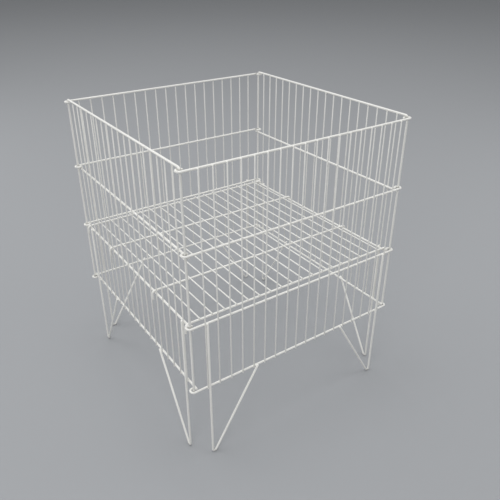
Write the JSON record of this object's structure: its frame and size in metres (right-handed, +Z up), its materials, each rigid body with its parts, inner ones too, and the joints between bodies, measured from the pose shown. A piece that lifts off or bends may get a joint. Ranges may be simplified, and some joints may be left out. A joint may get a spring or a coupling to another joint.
{
  "type": "retail dump bin",
  "caption": "Square free-standing wire bin with an open top, picket walls hinged at the corner posts, V-shaped wire legs and a lift-out wire shelf hooked over the side rails.",
  "frame": {"origin": "on the floor, at the middle of the bin's square plan", "axes": "+Z up, -Y out of the front panel, +X to the right as seen from the front; the front and back panels carry the hinge eyes and the left and right panels carry the posts"},
  "size_m": [0.63, 0.6388, 0.7526],
  "materials": {
    "panel_wire": "white powder coat, semi-gloss",
    "leg_wire": "white powder coat, semi-gloss, worn at the foot",
    "shelf_wire": "white powder coat, semi-gloss"
  },
  "bodies": {
    "walls": {"front_rim_and_pickets": "panel_wire", "front_upper_rail": "panel_wire", "front_middle_rail": "panel_wire", "front_lower_rail": "panel_wire", "front_left_leg": "leg_wire", "front_right_leg": "leg_wire", "back_rim_and_pickets": "panel_wire", "back_upper_rail": "panel_wire", "back_middle_rail": "panel_wire", "back_lower_rail": "panel_wire", "back_left_leg": "leg_wire", "back_right_leg": "leg_wire", "left_frame_and_pickets": "panel_wire", "left_upper_rail": "panel_wire", "left_middle_rail": "panel_wire", "left_lower_rail": "panel_wire", "left_front_leg": "leg_wire", "left_back_leg": "leg_wire", "right_frame_and_pickets": "panel_wire", "right_upper_rail": "panel_wire", "right_middle_rail": "panel_wire", "right_lower_rail": "panel_wire", "right_front_leg": "leg_wire", "right_back_leg": "leg_wire"},
    "shelf": {"shelf_front_wire_and_deck": "shelf_wire", "shelf_inner_front_wire": "shelf_wire", "shelf_inner_back_wire": "shelf_wire", "shelf_back_wire": "shelf_wire"}
  },
  "joints": [
    {"name": "shelf_lift", "type": "slide", "parent": "walls", "child": "shelf", "axis": [0, 0, 1], "range_m": [0, 0.166]}
  ]
}
